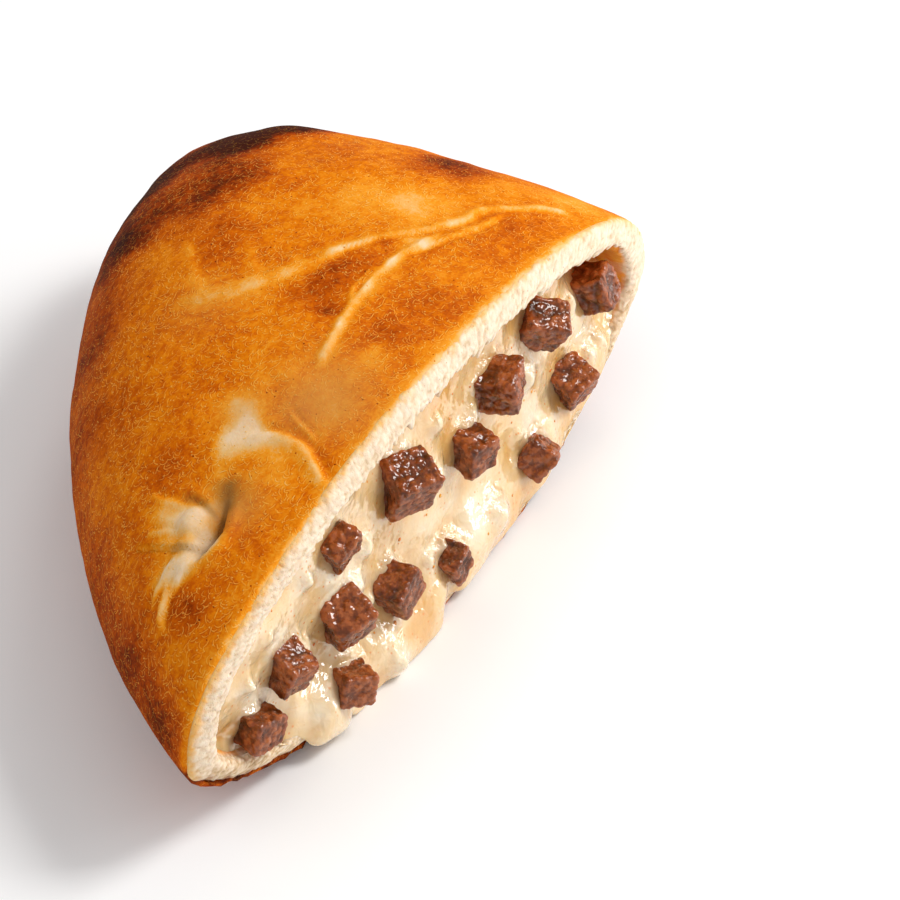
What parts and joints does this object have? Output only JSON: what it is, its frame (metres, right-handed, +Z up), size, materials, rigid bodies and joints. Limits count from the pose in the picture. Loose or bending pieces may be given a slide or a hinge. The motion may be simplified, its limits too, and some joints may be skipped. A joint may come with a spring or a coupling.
{
  "type": "cut half of a baked panzerotto",
  "caption": "Half of a baked panzerotto cut across: a browned dough pocket with crumbly lips, filled with melted cheese that runs over the lower lip and set with meat cubes.",
  "frame": {"origin": "middle of the footprint of the whole part, on the surface it rests on", "axes": "+Z up; X runs along the cut, from the sealed edge of the dough at -X to its fold at +X; the cut face looks towards -Y"},
  "size_m": [0.16, 0.1, 0.055],
  "materials": {
    "baked_dough": "golden-brown baked crust with a soft sheen, cream crumb at the cut",
    "melted_cheese": "glossy melted cheese with specks of orange oil",
    "cooked_meat": "brown cooked meat, moist and glistening"
  },
  "bodies": {
    "root": {"crust": "baked_dough", "cheese_filling": "melted_cheese", "meat_cube_01": "cooked_meat", "meat_cube_02": "cooked_meat", "meat_cube_03": "cooked_meat", "meat_cube_04": "cooked_meat", "meat_cube_05": "cooked_meat", "meat_cube_06": "cooked_meat", "meat_cube_07": "cooked_meat", "meat_cube_08": "cooked_meat", "meat_cube_09": "cooked_meat", "meat_cube_10": "cooked_meat", "meat_cube_11": "cooked_meat", "meat_cube_12": "cooked_meat", "meat_cube_13": "cooked_meat", "meat_cube_14": "cooked_meat"}
  },
  "joints": []
}
